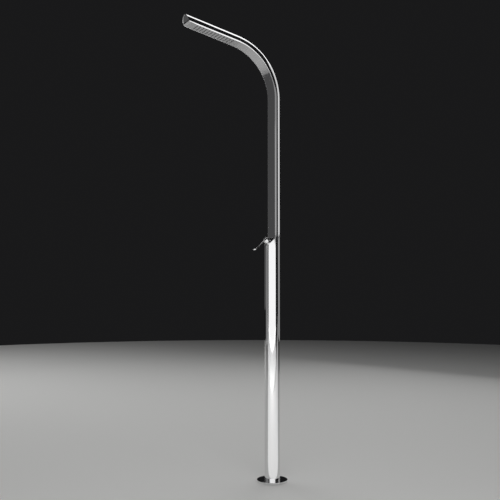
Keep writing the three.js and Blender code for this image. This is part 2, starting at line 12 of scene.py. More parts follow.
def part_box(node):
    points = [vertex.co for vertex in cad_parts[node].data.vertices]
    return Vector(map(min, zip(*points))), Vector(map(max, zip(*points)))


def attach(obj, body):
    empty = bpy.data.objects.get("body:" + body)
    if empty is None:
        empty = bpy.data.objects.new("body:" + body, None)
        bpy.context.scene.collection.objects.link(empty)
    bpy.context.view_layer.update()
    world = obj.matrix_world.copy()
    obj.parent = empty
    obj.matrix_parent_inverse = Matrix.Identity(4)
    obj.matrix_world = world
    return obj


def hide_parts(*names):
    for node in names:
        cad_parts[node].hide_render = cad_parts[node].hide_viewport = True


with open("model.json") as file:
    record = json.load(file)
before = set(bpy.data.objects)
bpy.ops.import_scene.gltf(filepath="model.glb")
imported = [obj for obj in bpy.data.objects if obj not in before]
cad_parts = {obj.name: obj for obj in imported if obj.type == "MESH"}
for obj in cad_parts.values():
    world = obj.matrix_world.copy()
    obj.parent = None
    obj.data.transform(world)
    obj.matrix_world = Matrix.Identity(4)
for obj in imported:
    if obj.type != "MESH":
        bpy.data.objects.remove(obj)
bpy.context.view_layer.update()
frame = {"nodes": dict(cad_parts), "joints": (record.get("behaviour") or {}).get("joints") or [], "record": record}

# ---------------------------------------------------------------- sizes
MM = 0.001
GAP = 0.3 * MM  # between pieces that touch
CLOSE = 0.01 * MM  # nearer than this counts as the same place


def low(node, axis):
    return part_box(node)[0][axis]


def high(node, axis):
    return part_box(node)[1][axis]


tube_radius = high("column_tube", 0)
tube_wall = 2 * MM
inner_radius = tube_radius - tube_wall
foot_z = low("column_tube", 2)
flat_y = -3.2 * MM  # the flat front's rim
plate_inset = 0.8 * MM  # every closing plate sits this far below the tube's rim
plate_thickness = 2 * MM
outlet_face = -flat_y - plate_inset  # the plates' outer face, before the axis
strip_half_width = high("front_plate", 0)

bend_radius = 266.3 * MM
bend_start = 1902 * MM
arm_rise = math.radians(13.5)
bend_turn = math.pi / 2 - arm_rise

# the arm's end, in the arm's frame: the flat front ends at the knee, then come the lip and the end face
knee_z = 260 * MM
lip_rise = 7.2 * MM
lip_run = 12 * MM
end_lean = math.radians(25.2)
rough_arm = 360 * MM  # the arm's tube before its end is cut

# the oblique cut and the mixer on it
cut_slope = math.radians(49)
cut_height = 1203.1 * MM
cut_low = cut_height - 60 * MM
temperature = next(joint for joint in frame["joints"] if joint["name"] == "temperature_turn")
mixer_centre = Vector(temperature["pos_m"])
mixer_axis = Vector((0, -math.sin(cut_slope), math.cos(cut_slope)))
cartridge_radius = 12.6 * MM
carrier_radius = 8.5 * MM
pivot_height = 6.5 * MM  # the lift axis, above the oblique cut's plane
collar_top = 1.4 * MM
collar_depth = 6.5 * MM
flange_radius = cartridge_radius + 3.4 * MM
flange_rounding = 0.7 * MM
skirt_radius = carrier_radius + 0.5 * MM + 2 * GAP
dome_radius = 13.2 * MM
dome_wall = 2.6 * MM
dome_height = 2.5 * MM  # the dome's opening, over the lift axis
socket_radius = 13.7 * MM
socket_rim = 2 * MM  # the hub's lower rim, over the lift axis
socket_height = 8.3 * MM
hub_radius = 15 * MM
hub_top = 22.2 * MM
hub_spare = 4 * MM  # taken off again by the sloping top
lever_width = 14 * MM
lever_thickness = 5 * MM
lever_length = 71 * MM
lever_back = 10 * MM  # how far it reaches behind the hub's axis
lever_corner = 2.6 * MM
lever_knee = 7 * MM
lever_raise = math.radians(4.2)
lip_reach = 14.5 * MM
lip_raise = math.radians(30)
lever_screw_radius = 4 * MM
lever_screw_depth = 2.2 * MM

# the spray outlets, in the arm's frame
nozzle_radius = 2.3 * MM
nozzle_proud = 1.2 * MM
nozzle_bore = 0.55 * MM
nozzles_across = 7
nozzle_spacing = 9 * MM
nozzle_rows = 13
first_row = 23.5 * MM
row_pitch = 16.3 * MM
last_row = first_row + (nozzle_rows - 1) * row_pitch
mat_half_width = high("nozzle_mat", 0)
mat_margin = 7.5 * MM
mat_corners = (
    Vector((-mat_half_width, GAP - 0.4 * MM, first_row - mat_margin)),
    Vector((mat_half_width, 1.4 * MM, last_row + mat_margin)),
)
sinking = 0.3 * MM  # every countersunk head lies this far below the face round it
chamber_screw_radius = 2.8 * MM
chamber_screw_depth = 1.6 * MM
chamber_screw_places = [
    Vector((side * 2.5 * nozzle_spacing, 0, z))
    for z in (first_row + row_pitch / 2, last_row - row_pitch / 2)
    for side in (-1, 1)
]
foot_screw_radius = 3.1 * MM
foot_screw_depth = 5 * MM
foot_screw_height = 30 * MM  # over the tube's foot
foot_screw_angles = (-40, 40)  # degrees from straight back
rosette_edge = 1.6 * MM
rosette_wall = 2 * MM

arm_origin = Vector((
    0,
    -bend_radius * (1 - math.cos(bend_turn)),
    bend_start + bend_radius * math.sin(bend_turn),
))
arm_frame = Matrix.Translation(arm_origin) @ Matrix.Rotation(bend_turn, 4, "X")
mixer_frame = Matrix.Translation(mixer_centre) @ Matrix.Rotation(cut_slope, 4, "X")
slot_of = {entry["node"]: entry["material_slot"] for entry in frame["record"]["subparts"]}


# ---------------------------------------------------------------- modelling helpers
def clear_selection():
    if bpy.context.object and bpy.context.object.mode != "OBJECT":
        bpy.ops.object.mode_set(mode="OBJECT")
    bpy.ops.object.select_all(action="DESELECT")


def only(piece):
    """Makes this the one selected and active object."""
    clear_selection()
    piece.select_set(True)
    bpy.context.view_layer.objects.active = piece


def select_none(kind):
    """Clears the mesh selection and sets whether faces, edges or points are selected next."""
    bpy.ops.object.mode_set(mode="EDIT")
    bpy.ops.mesh.select_mode(type=kind)
    bpy.ops.mesh.select_all(action="DESELECT")
    bpy.ops.object.mode_set(mode="OBJECT")


def select_faces(piece, wanted):
    """In edit mode, selects the faces whose centre and normal pass the test."""
    select_none("FACE")
    for face in piece.data.polygons:
        face.select = wanted(face.center, face.normal)
    bpy.ops.object.mode_set(mode="EDIT")


def select_points(piece, wanted):
    """In edit mode, selects the points whose place passes the test."""
    select_none("VERT")
    for point in piece.data.vertices:
        point.select = wanted(point.co)
    bpy.ops.object.mode_set(mode="EDIT")


def select_edges(piece, wanted):
    """In edit mode, selects the edges whose two ends, taken together, pass the test."""
    select_none("EDGE")
    points = piece.data.vertices
    for edge in piece.data.edges:
        first, second = (points[i].co for i in edge.vertices)
        edge.select = wanted(first, second)
    bpy.ops.object.mode_set(mode="EDIT")


def apply(piece, kind, **settings):
    """Adds a modifier with these settings and applies it."""
    only(piece)
    modifier = piece.modifiers.new(kind.lower(), kind)
    for name, value in settings.items():
        setattr(modifier, name, value)
    bpy.ops.object.modifier_apply(modifier=modifier.name)


def smooth(piece, angle=35):
    """Shades the piece smooth but for its sharp edges; its large faces keep their own direction."""
    only(piece)
    bpy.ops.object.shade_smooth_by_angle(angle=math.radians(angle))
    apply(piece, "WEIGHTED_NORMAL", mode="FACE_AREA", weight=100, keep_sharp=True)


def soften(piece, width, segments=2, angle=35):
    """Rounds the sharp edges and shades the rest smooth."""
    apply(
        piece, "BEVEL", width=width, segments=segments, limit_method="ANGLE",
        angle_limit=math.radians(angle), use_clamp_overlap=True,
    )
    smooth(piece, angle)


def settle(piece, matrix=None):
    """Puts the piece's place into its mesh, after a move by a matrix."""
    if matrix is not None:
        piece.matrix_world = matrix @ piece.matrix_world
    only(piece)
    bpy.ops.object.transform_apply(location=True, rotation=True, scale=True)


def draw_on(value):
    """Extrudes what is selected by a vector."""
    bpy.ops.mesh.extrude_region_move(TRANSFORM_OT_translate={"value": value})


def face_out(piece):
    """Merges doubled points and turns every face outwards."""
    only(piece)
    bpy.ops.object.mode_set(mode="EDIT")
    bpy.ops.mesh.select_all(action="SELECT")
    bpy.ops.mesh.remove_doubles(threshold=1e-6)
    bpy.ops.mesh.normals_make_consistent(inside=False)
    bpy.ops.object.mode_set(mode="OBJECT")


def round_bar(name, radius, bottom, top, sides=96):
    """An upright bar on the Z axis, to be cut to shape or to cut with."""
    clear_selection()
    bpy.ops.mesh.primitive_cylinder_add(
        vertices=sides, radius=radius, depth=top - bottom, location=(0, 0, (top + bottom) / 2),
    )
    piece = bpy.context.object
    piece.name = name
    settle(piece)
    return piece


def carve(piece, tool, operation="DIFFERENCE"):
    """Cuts the piece with a tool, which is used up."""
    apply(piece, "BOOLEAN", object=tool, operation=operation, solver="EXACT")
    bpy.data.objects.remove(tool, do_unlink=True)


def turned(name, profile, sides=128):
    """A profile of (radius, height) drawn point by point and spun about Z.

    It closes on itself unless both its ends are on the axis.
    """
    clear_selection()
    radius, height = profile[0]
    bpy.ops.mesh.primitive_plane_add(size=1 * MM, location=(radius, 0, height))
    piece = bpy.context.object
    piece.name = name
    settle(piece)
    bpy.ops.object.mode_set(mode="EDIT")
    bpy.ops.mesh.select_mode(type="VERT")
    bpy.ops.mesh.select_all(action="SELECT")
    bpy.ops.mesh.merge(type="CENTER")
    path = list(profile[1:])
    if radius > 0:
        path.append(profile[0])
    for next_radius, next_height in path:
        draw_on((next_radius - radius, 0, next_height - height))
        radius, height = next_radius, next_height
    bpy.ops.mesh.select_all(action="SELECT")
    bpy.ops.mesh.spin(steps=sides, angle=2 * math.pi, center=(0, 0, 0), axis=(0, 0, 1))
    bpy.ops.object.mode_set(mode="OBJECT")
    face_out(piece)
    return piece


def finish_piece(piece, body, material, node):
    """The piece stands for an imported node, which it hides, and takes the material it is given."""
    piece.data.materials.clear()
    piece.data.materials.append(material)
    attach(piece, body)
    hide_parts(node)


# ---------------------------------------------------------------- camera
camera_data = bpy.data.cameras.new("camera")
camera = bpy.data.objects.new("camera", camera_data)
bpy.context.scene.collection.objects.link(camera)
bpy.context.scene.camera = camera
camera.location = (3.479, -1.8885, 1.038)
camera_turn = math.radians(26.9)  # from square to the arm
camera_pitch = math.radians(2.245)
looking = Vector((
    -math.cos(camera_turn) * math.cos(camera_pitch),
    math.sin(camera_turn) * math.cos(camera_pitch),
    math.sin(camera_pitch),
))
camera.rotation_euler = looking.to_track_quat("-Z", "Y").to_euler()
camera_data.sensor_width = 36
camera_data.lens = 57
camera_data.shift_y = -0.02
camera_data.clip_end = 100


# ---------------------------------------------------------------- shared shader groups
def new_group(name, inputs, outputs):
    group = bpy.data.node_groups.new(name, "ShaderNodeTree")
    for label, kind, value in inputs:
        socket = group.interface.new_socket(label, in_out="INPUT", socket_type=kind)
        if value is not None:
            socket.default_value = value
    for label, kind in outputs:
        group.interface.new_socket(label, in_out="OUTPUT", socket_type=kind)
    return group, group.nodes.new("NodeGroupInput"), group.nodes.new("NodeGroupOutput")


def make_hand_marks():
    """Faint smears, water spots and fine wiping lines that change the roughness of a polished metal."""
    group, given, made = new_group(
        "hand_marks",
        [
            ("Scale", "NodeSocketFloat", 6.0),
            ("Low", "NodeSocketFloat", 0.05),
            ("High", "NodeSocketFloat", 0.14),
        ],
        [("Roughness", "NodeSocketFloat")],
    )
    nodes, links = group.nodes, group.links
    place = nodes.new("ShaderNodeTexCoord")
    smear = nodes.new("ShaderNodeTexNoise")
    smear.inputs["Detail"].default_value = 6
    smear.inputs["Roughness"].default_value = 0.6
    smear.inputs["Distortion"].default_value = 0.8
    spots = nodes.new("ShaderNodeTexVoronoi")
    spots.inputs["Scale"].default_value = 190
    spot_edge = nodes.new("ShaderNodeMapRange")
    spot_edge.inputs["From Min"].default_value = 0.10
    spot_edge.inputs["From Max"].default_value = 0.16
    spot_edge.inputs["To Min"].default_value = 0.35
    spot_edge.inputs["To Max"].default_value = 0.0
    shape = nodes.new("ShaderNodeMapRange")
    shape.inputs["From Min"].default_value = 0.42
    shape.inputs["From Max"].default_value = 0.72
    sparse = nodes.new("ShaderNodeMath")
    sparse.operation = "MULTIPLY"
    total = nodes.new("ShaderNodeMath")
    total.operation = "ADD"
    total.use_clamp = True
    blend = nodes.new("ShaderNodeMapRange")
    links.new(place.outputs["Object"], smear.inputs["Vector"])
    links.new(given.outputs["Scale"], smear.inputs["Scale"])
    links.new(place.outputs["Object"], spots.inputs["Vector"])
    links.new(spots.outputs["Distance"], spot_edge.inputs["Value"])
    links.new(smear.outputs["Fac"], shape.inputs["Value"])
    links.new(spot_edge.outputs["Result"], sparse.inputs[0])
    links.new(shape.outputs["Result"], sparse.inputs[1])
    links.new(shape.outputs["Result"], total.inputs[0])
    links.new(sparse.outputs["Value"], total.inputs[1])
    links.new(total.outputs["Value"], blend.inputs["Value"])
    links.new(given.outputs["Low"], blend.inputs["To Min"])
    links.new(given.outputs["High"], blend.inputs["To Max"])
    links.new(blend.outputs["Result"], made.inputs["Roughness"])
    return group


def make_grain():
    """Fine lines or dimples over a surface. Lines run in the direction with the smallest Stretch."""
    group, given, made = new_group(
        "metal_grain",
        [("Stretch", "NodeSocketVector", (400.0, 400.0, 6.0))],
        [("Lines", "NodeSocketFloat")],
    )
    nodes, links = group.nodes, group.links
    place = nodes.new("ShaderNodeTexCoord")
    stretch = nodes.new("ShaderNodeVectorMath")
    stretch.operation = "MULTIPLY"
    lines = nodes.new("ShaderNodeTexNoise")
    lines.inputs["Scale"].default_value = 1
    lines.inputs["Detail"].default_value = 8
    lines.inputs["Roughness"].default_value = 0.7
    links.new(place.outputs["Object"], stretch.inputs[0])
    links.new(given.outputs["Stretch"], stretch.inputs[1])
    links.new(stretch.outputs["Vector"], lines.inputs["Vector"])
    links.new(lines.outputs["Fac"], made.inputs["Lines"])
    return group


hand_marks = make_hand_marks()
metal_grain = make_grain()


# ---------------------------------------------------------------- materials
def place_group(material, group, **values):
    """Puts a shared group in a material, with this material's own values."""
    node = material.node_tree.nodes.new("ShaderNodeGroup")
    node.node_tree = group
    for name, value in values.items():
        node.inputs[name].default_value = value
    return node


def new_material(name, metallic=0.0, roughness=0.5):
    material = bpy.data.materials.new(name)
    material.use_nodes = True
    shader = material.node_tree.nodes["Principled BSDF"]
    shader.inputs["Metallic"].default_value = metallic
    shader.inputs["Roughness"].default_value = roughness
    return material, shader


def two_tone(material, shader, factor, dark, light):
    """Drives the colour between two tones."""
    ramp = material.node_tree.nodes.new("ShaderNodeValToRGB")
    ramp.color_ramp.elements[0].position = 0.3
    ramp.color_ramp.elements[0].color = (*dark, 1)
    ramp.color_ramp.elements[1].position = 0.7
    ramp.color_ramp.elements[1].color = (*light, 1)
    material.node_tree.links.new(factor, ramp.inputs["Fac"])
    material.node_tree.links.new(ramp.outputs["Color"], shader.inputs["Base Color"])


def raise_surface(material, shader, height, strength, distance):
    """Drives the surface's relief; the distance is in metres."""
    bump = material.node_tree.nodes.new("ShaderNodeBump")
    bump.inputs["Strength"].default_value = strength
    bump.inputs["Distance"].default_value = distance
    material.node_tree.links.new(height, bump.inputs["Height"])
    material.node_tree.links.new(bump.outputs["Normal"], shader.inputs["Normal"])


def metal(name, dark, light, marks, grain, strength):
    """A metal with hand marks in its roughness and grain lines in its surface and colour.

    The marks are (scale, least roughness, most roughness).
    """
    material, shader = new_material(name, metallic=1.0)
    links = material.node_tree.links
    marked = place_group(material, hand_marks, Scale=marks[0], Low=marks[1], High=marks[2])
    grained = place_group(material, metal_grain, Stretch=grain)
    links.new(marked.outputs["Roughness"], shader.inputs["Roughness"])
    two_tone(material, shader, grained.outputs["Lines"], dark, light)
    raise_surface(material, shader, grained.outputs["Lines"], strength, 0.04 * MM)
    return material


polished_steel = metal(
    "polished_steel", (0.80, 0.80, 0.805), (0.86, 0.86, 0.865), (7.0, 0.035, 0.085), (900, 900, 12), 0.008,
)
satin_steel = metal(
    "satin_steel", (0.62, 0.62, 0.63), (0.68, 0.68, 0.69), (9.0, 0.08, 0.13), (300, 24, 12), 0.012,
)
plain_steel = metal(
    "plain_steel", (0.45, 0.455, 0.46), (0.58, 0.585, 0.59), (14.0, 0.28, 0.42), (500, 500, 500), 0.20,
)
machined_brass = metal(
    "machined_brass", (0.62, 0.43, 0.18), (0.76, 0.57, 0.28), (16.0, 0.22, 0.4), (300, 300, 2500), 0.15,
)


def soft_material(name, dark, light, roughness, scale, strength):
    """Rubber, silicone or moulded plastic: a fine dimpled surface with slow changes of tone."""
    material, shader = new_material(name, roughness=roughness)
    links = material.node_tree.links
    marked = place_group(material, hand_marks, Scale=12.0, Low=roughness - 0.08, High=roughness + 0.1)
    grained = place_group(material, metal_grain, Stretch=(scale, scale, scale))
    links.new(marked.outputs["Roughness"], shader.inputs["Roughness"])
    two_tone(material, shader, grained.outputs["Lines"], dark, light)
    raise_surface(material, shader, grained.outputs["Lines"], strength, 0.1 * MM)
    return material


black_rubber = soft_material("black_rubber", (0.012, 0.012, 0.013), (0.03, 0.03, 0.031), 0.75, 1500, 0.4)
dark_silicone = soft_material("dark_silicone", (0.02, 0.02, 0.022), (0.04, 0.04, 0.043), 0.5, 1200, 0.2)
white_acetal = soft_material("white_acetal", (0.70, 0.69, 0.65), (0.80, 0.79, 0.76), 0.4, 800, 0.15)


def make_braid():
    """Crossing wires wound both ways round a hose that stands upright, with painted shade in the grooves between
    the wires.
    """
    material, shader = new_material("steel_braid", metallic=1.0, roughness=0.35)
    nodes, links = material.node_tree.nodes, material.node_tree.links
    place = nodes.new("ShaderNodeTexCoord")
    heights = []
    for lean in (math.radians(-50), math.radians(50)):
        turn = nodes.new("ShaderNodeMapping")
        turn.inputs["Rotation"].default_value = (lean, lean, 0)
        wires = nodes.new("ShaderNodeTexWave")
        wires.bands_direction = "Z"
        wires.inputs["Scale"].default_value = 260
        links.new(place.outputs["Object"], turn.inputs["Vector"])
        links.new(turn.outputs["Vector"], wires.inputs["Vector"])
        heights.append(wires.outputs["Fac"])
    top = nodes.new("ShaderNodeMath")
    top.operation = "MAXIMUM"
    links.new(heights[0], top.inputs[0])
    links.new(heights[1], top.inputs[1])
    # The colour follows the wires' height: the grooves between the wires are darker, which is painted shade.
    two_tone(material, shader, top.outputs["Value"], (0.22, 0.22, 0.23), (0.62, 0.62, 0.64))
    raise_surface(material, shader, top.outputs["Value"], 0.8, 0.4 * MM)
    marked = place_group(material, hand_marks, Scale=20.0, Low=0.3, High=0.45)
    links.new(marked.outputs["Roughness"], shader.inputs["Roughness"])
    return material


steel_braid = make_braid()


# ---------------------------------------------------------------- the column's bent shell and strips
def along_arm(distance):
    return distance * Vector((0, -math.cos(arm_rise), math.sin(arm_rise)))


def in_arm(point):
    return arm_frame.inverted() @ point


def turn_round_bend():
    """Carries the selected edges, which lie at the bend's start, round the bend."""
    centre = (0, -bend_radius, bend_start)
    bpy.ops.mesh.spin(steps=72, angle=bend_turn, center=centre, axis=(-1, 0, 0))


def column_skin():
    """The whole round tube as an open skin: up, round the bend and along the arm."""
    clear_selection()
    bpy.ops.mesh.primitive_circle_add(vertices=144, radius=tube_radius, location=(0, 0, foot_z))
    piece = bpy.context.object
    piece.name = "column_shell"
    settle(piece)
    rim_x = math.sqrt(tube_radius ** 2 - flat_y ** 2)
    for side in (-1, 1):
        # the point nearest the flat front's rim slides along the circle onto it
        rim = Vector((side * rim_x, flat_y, foot_z))
        place = min((point.co.copy() for point in piece.data.vertices), key=lambda co: (co - rim).length)
        select_points(piece, lambda co: (co - place).length < CLOSE)
        bpy.ops.transform.translate(value=rim - place)
        bpy.ops.object.mode_set(mode="OBJECT")
    bpy.ops.object.mode_set(mode="EDIT")
    bpy.ops.mesh.select_all(action="SELECT")
    height = foot_z
    for level in (cut_low, cut_height, bend_start):
        draw_on((0, 0, level - height))
        height = level
    turn_round_bend()
    draw_on(along_arm(rough_arm))
    bpy.ops.object.mode_set(mode="OBJECT")
    return piece


def before_flat(co):
    """True where a point of the round skin lies before the flat front's rim."""
    margin = 0.2 * MM
    if co.z <= bend_start:
        return co.y < flat_y - margin
    beyond = in_arm(co)
    if beyond.z > 0:
        return beyond.y < flat_y - margin
    centre = Vector((0, -bend_radius, bend_start))
    return (co - centre).yz.length < bend_radius + flat_y - margin


def trim(piece, wanted, place, normal, fill=False):
    """Cuts the wanted faces by a plane and removes what lies on its normal's side."""
    select_faces(piece, wanted)
    bpy.ops.mesh.bisect(plane_co=place, plane_no=normal, clear_outer=True, use_fill=fill)
    bpy.ops.object.mode_set(mode="OBJECT")


def everywhere(centre, normal):
    """Passes every face."""
    return True


def make_column():
    piece = column_skin()
    select_faces(piece, lambda co, n: co.z > cut_height and before_flat(co))
    bpy.ops.mesh.delete(type="FACE")
    bpy.ops.object.mode_set(mode="OBJECT")
    face_out(piece)
    apply(piece, "SOLIDIFY", thickness=tube_wall, offset=-1, use_even_offset=True)
    turn = arm_frame.to_3x3()
    lip_top = arm_frame @ Vector((0, flat_y + lip_rise, knee_z + lip_run))
    end_normal = turn @ Vector((0, -math.sin(end_lean), math.cos(end_lean)))
    lip_normal = turn @ Vector((0, -lip_run, lip_rise)).normalized()
    for normal in (end_normal, lip_normal):
        trim(piece, lambda co, n: in_arm(co).z > 100 * MM, lip_top, normal, fill=True)
    carve(piece, oblique_wedge())
    for angle in foot_screw_angles:
        hole = round_bar("hole", foot_screw_radius + GAP, inner_radius - 5 * MM, tube_radius + 5 * MM, 32)
        settle(hole, foot_screw_frame(angle))
        carve(piece, hole)
    soften(piece, 0.3 * MM, 2, 40)
    finish_piece(piece, "column", polished_steel, "column_tube")


def oblique_wedge():
    """The room over the oblique cut, before the flat front."""
    clear_selection()
    bpy.ops.mesh.primitive_cube_add(size=0.2, location=(0, flat_y - 0.1 - 0.02 * MM, cut_height))
    wedge = bpy.context.object
    settle(wedge)
    trim(wedge, everywhere, mixer_centre, -mixer_axis, fill=True)
    face_out(wedge)
    return wedge


def cross_edge(name, half_width, y, z):
    """A single edge across the width."""
    clear_selection()
    bpy.ops.mesh.primitive_plane_add(size=2 * half_width, location=(0, y + half_width, z))
    piece = bpy.context.object
    piece.name = name
    settle(piece)
    select_points(piece, lambda co: co.y > y + half_width)
    bpy.ops.mesh.delete(type="VERT")
    bpy.ops.mesh.select_all(action="SELECT")
    return piece


def thicken(piece, thickness, outward):
    """Gives a sheet its thickness on the side away from the outward direction."""
    bpy.ops.object.mode_set(mode="EDIT")
    bpy.ops.mesh.select_all(action="SELECT")
    bpy.ops.mesh.normals_make_consistent(inside=False)
    bpy.ops.object.mode_set(mode="OBJECT")
    largest = max(piece.data.polygons, key=lambda face: face.area)
    side = -1 if largest.normal.dot(Vector(outward)) > 0 else 1
    apply(piece, "SOLIDIFY", thickness=thickness, offset=side, use_even_offset=True)
    face_out(piece)


def make_front_plate():
    piece = cross_edge("front_strip", strip_half_width, flat_y + plate_inset, bend_start)
    turn_round_bend()
    bpy.ops.object.mode_set(mode="OBJECT")
    select_edges(piece, lambda a, b: max(a.z, b.z) < bend_start + CLOSE)
    draw_on((0, 0, cut_low - bend_start))
    bpy.ops.object.mode_set(mode="OBJECT")
    above_valve_plate = mixer_centre + mixer_axis * (GAP - plate_inset)
    trim(piece, lambda co, n: co.z < bend_start, above_valve_plate, -mixer_axis)
    thicken(piece, plate_thickness, (0, -1, 0))
    soften(piece, 0.25 * MM, 2, 40)
    finish_piece(piece, "column", satin_steel, "front_plate")


# ---------------------------------------------------------------- the arm's underside and end
def nozzle_places():
    """The (x, z) of every nozzle in the arm's frame."""
    across = [(i - (nozzles_across - 1) / 2) * nozzle_spacing for i in range(nozzles_across)]
    along = [first_row + i * row_pitch for i in range(nozzle_rows)]
    return [(x, z) for z in along for x in across]


def repeat(piece, count, step):
    apply(
        piece, "ARRAY", count=count, use_relative_offset=False, use_constant_offset=True,
        constant_offset_displace=step,
    )


def nozzle_block(seed):
    """The seed, which stands at the first nozzle, repeated at every nozzle."""
    repeat(seed, nozzles_across, (nozzle_spacing, 0, 0))
    repeat(seed, nozzle_rows, (0, 0, row_pitch))


def first_nozzle():
    x, z = nozzle_places()[0]
    return Matrix.Translation((x, 0, z)) @ Matrix.Rotation(math.radians(90), 4, "X")


def make_spray_plate():
    outer_y = flat_y + plate_inset
    lip_angle = math.atan2(lip_rise, lip_run)
    knee = knee_z - plate_inset * math.tan(lip_angle / 2)
    lip_length = math.hypot(lip_run, lip_rise) - plate_inset - plate_thickness - 2 * GAP
    piece = cross_edge("spray_sheet", strip_half_width, outer_y, GAP)
    draw_on((0, 0, knee - GAP))
    draw_on((0, lip_length * math.sin(lip_angle), lip_length * math.cos(lip_angle)))
    bpy.ops.object.mode_set(mode="OBJECT")
    thicken(piece, plate_thickness, (0, -1, 0))
    holes = round_bar("holes", nozzle_radius + GAP, -10 * MM, 10 * MM, 28)
    settle(holes, first_nozzle())
    nozzle_block(holes)
    carve(piece, holes)
    for place in chamber_screw_places:
        hole = round_bar("hole", chamber_screw_radius + GAP, -10 * MM, 10 * MM, 32)
        settle(hole, Matrix.Translation(place) @ Matrix.Rotation(math.radians(90), 4, "X"))
        carve(piece, hole)
    soften(piece, 0.2 * MM, 2, 25)
    settle(piece, arm_frame)
    finish_piece(piece, "column", satin_steel, "spray_plate")


def make_nozzle_mat():
    """A flat mat with a soft cone standing out at each nozzle, each with its own small bore."""
    tip = -outlet_face - nozzle_proud
    nozzle = turned("nozzle", (
        (nozzle_bore, -0.2 * MM),
        (nozzle_radius, -0.2 * MM),
        (nozzle_radius, -tip - 0.7 * MM),
        (nozzle_radius - 0.25 * MM, -tip - 0.25 * MM),
        (nozzle_radius - 0.8 * MM, -tip),
        (0.9 * MM, -tip),
        (nozzle_bore, -tip - 0.4 * MM),
    ), 24)
    settle(nozzle, first_nozzle())
    nozzle_block(nozzle)
    low_corner, high_corner = mat_corners
    clear_selection()
    bpy.ops.mesh.primitive_cube_add(size=1, location=(low_corner + high_corner) / 2)
    mat = bpy.context.object
    mat.name = "outlet_mat"
    mat.scale = high_corner - low_corner
    settle(mat)
    apply(mat, "BEVEL", width=0.4 * MM, segments=3)
    only(mat)
    nozzle.select_set(True)
    bpy.ops.object.join()
    smooth(mat, 50)
    settle(mat, arm_frame)
    finish_piece(mat, "column", dark_silicone, "nozzle_mat")


def make_tip_cap():
    """The plate in the arm's end face, set a little below the tube's rim."""
    piece = round_bar("end_disc", inner_radius - GAP, knee_z - 30 * MM, knee_z + 100 * MM, 144)
    outward = Vector((0, -math.sin(end_lean), math.cos(end_lean)))
    upward = Vector((0, math.cos(end_lean), math.sin(end_lean)))
    corner = Vector((0, flat_y + lip_rise, knee_z + lip_run))
    trim(piece, everywhere, corner - outward * plate_inset, outward, fill=True)
    trim(piece, everywhere, corner - outward * (plate_inset + plate_thickness), -outward, fill=True)
    trim(piece, everywhere, corner + upward * 2 * plate_inset / math.cos(end_lean), -upward, fill=True)
    face_out(piece)
    soften(piece, 0.25 * MM, 2, 35)
    settle(piece, arm_frame)
    finish_piece(piece, "column", polished_steel, "tip_cap")


def hex_screw(name, head_radius, top, depth, socket, frame_matrix, body, node, material):
    """A screw's head: a rounded disc with a hexagon socket."""
    piece = turned(name, (
        (0, top - depth),
        (head_radius, top - depth),
        (head_radius, top - 0.3 * MM),
        (head_radius - 0.1 * MM, top - 0.1 * MM),
        (head_radius - 0.3 * MM, top),
        (0, top),
    ), 48)
    clear_selection()
    bpy.ops.mesh.primitive_cylinder_add(
        vertices=6, radius=socket, depth=depth, location=(0, 0, top - 0.2 * depth),
    )
    tool = bpy.context.object
    settle(tool)
    carve(piece, tool)
    soften(piece, 0.08 * MM, 1, 40)
    settle(piece, frame_matrix)
    finish_piece(piece, body, material, node)


def make_chamber_screws():
    for i, place in enumerate(chamber_screw_places, 1):
        facing = Matrix.Translation(place) @ Matrix.Rotation(math.radians(90), 4, "X")
        hex_screw(
            f"outlet_screw_{i}", chamber_screw_radius, outlet_face - sinking, chamber_screw_depth,
            1.15 * MM, arm_frame @ facing, "column", f"chamber_screw_{i}", polished_steel,
        )


# ---------------------------------------------------------------- the mixer under the oblique cut
def make_valve_plate():
    piece = round_bar("oblique_disc", inner_radius - GAP, cut_height - 150 * MM, cut_height + 100 * MM, 144)
    top = mixer_centre - mixer_axis * plate_inset
    bottom = mixer_centre - mixer_axis * (plate_inset + plate_thickness)
    back = Vector((0, flat_y + plate_inset + plate_thickness, 0))
    trim(piece, everywhere, top, mixer_axis, fill=True)
    trim(piece, everywhere, bottom, -mixer_axis, fill=True)
    trim(piece, everywhere, back, Vector((0, 1, 0)), fill=True)
    face_out(piece)
    hole = round_bar("hole", cartridge_radius + 2 * GAP, -50 * MM, 50 * MM)
    settle(hole, mixer_frame)
    carve(piece, hole)
    soften(piece, 0.25 * MM, 2, 35)
    finish_piece(piece, "column", polished_steel, "valve_plate")


def arc(radius, centre, start, end, steps):
    """Points of (radius, height) round an arc centred on the axis."""
    angles = [start + (end - start) * i / steps for i in range(steps + 1)]
    return [(radius * math.cos(angle), centre + radius * math.sin(angle)) for angle in angles]


def make_collar():
    """A flange on the valve plate, a skirt in its hole and an open ball that the hub tilts over."""
    dome_start = math.asin((collar_top - pivot_height) / dome_radius)
    dome_end = math.asin(dome_height / dome_radius)
    seat = GAP - plate_inset
    rounding = arc(flange_rounding, collar_top - flange_rounding, 0, math.pi / 2, 6)
    piece = turned("neck_collar", (
        (skirt_radius, -collar_depth),
        (cartridge_radius, -collar_depth),
        (cartridge_radius, seat),
        (flange_radius - 0.2 * MM, seat),
        (flange_radius, seat + 0.2 * MM),
        *((flange_radius - flange_rounding + r, z) for r, z in rounding),
        *arc(dome_radius, pivot_height, dome_start, dome_end, 14),
        *reversed(arc(dome_radius - dome_wall, pivot_height, dome_start, dome_end, 14)),
        (skirt_radius, seat),
    ))
    soften(piece, 0.12 * MM, 1, 40)
    settle(piece, mixer_frame)
    finish_piece(piece, "column", polished_steel, "mixer_collar")


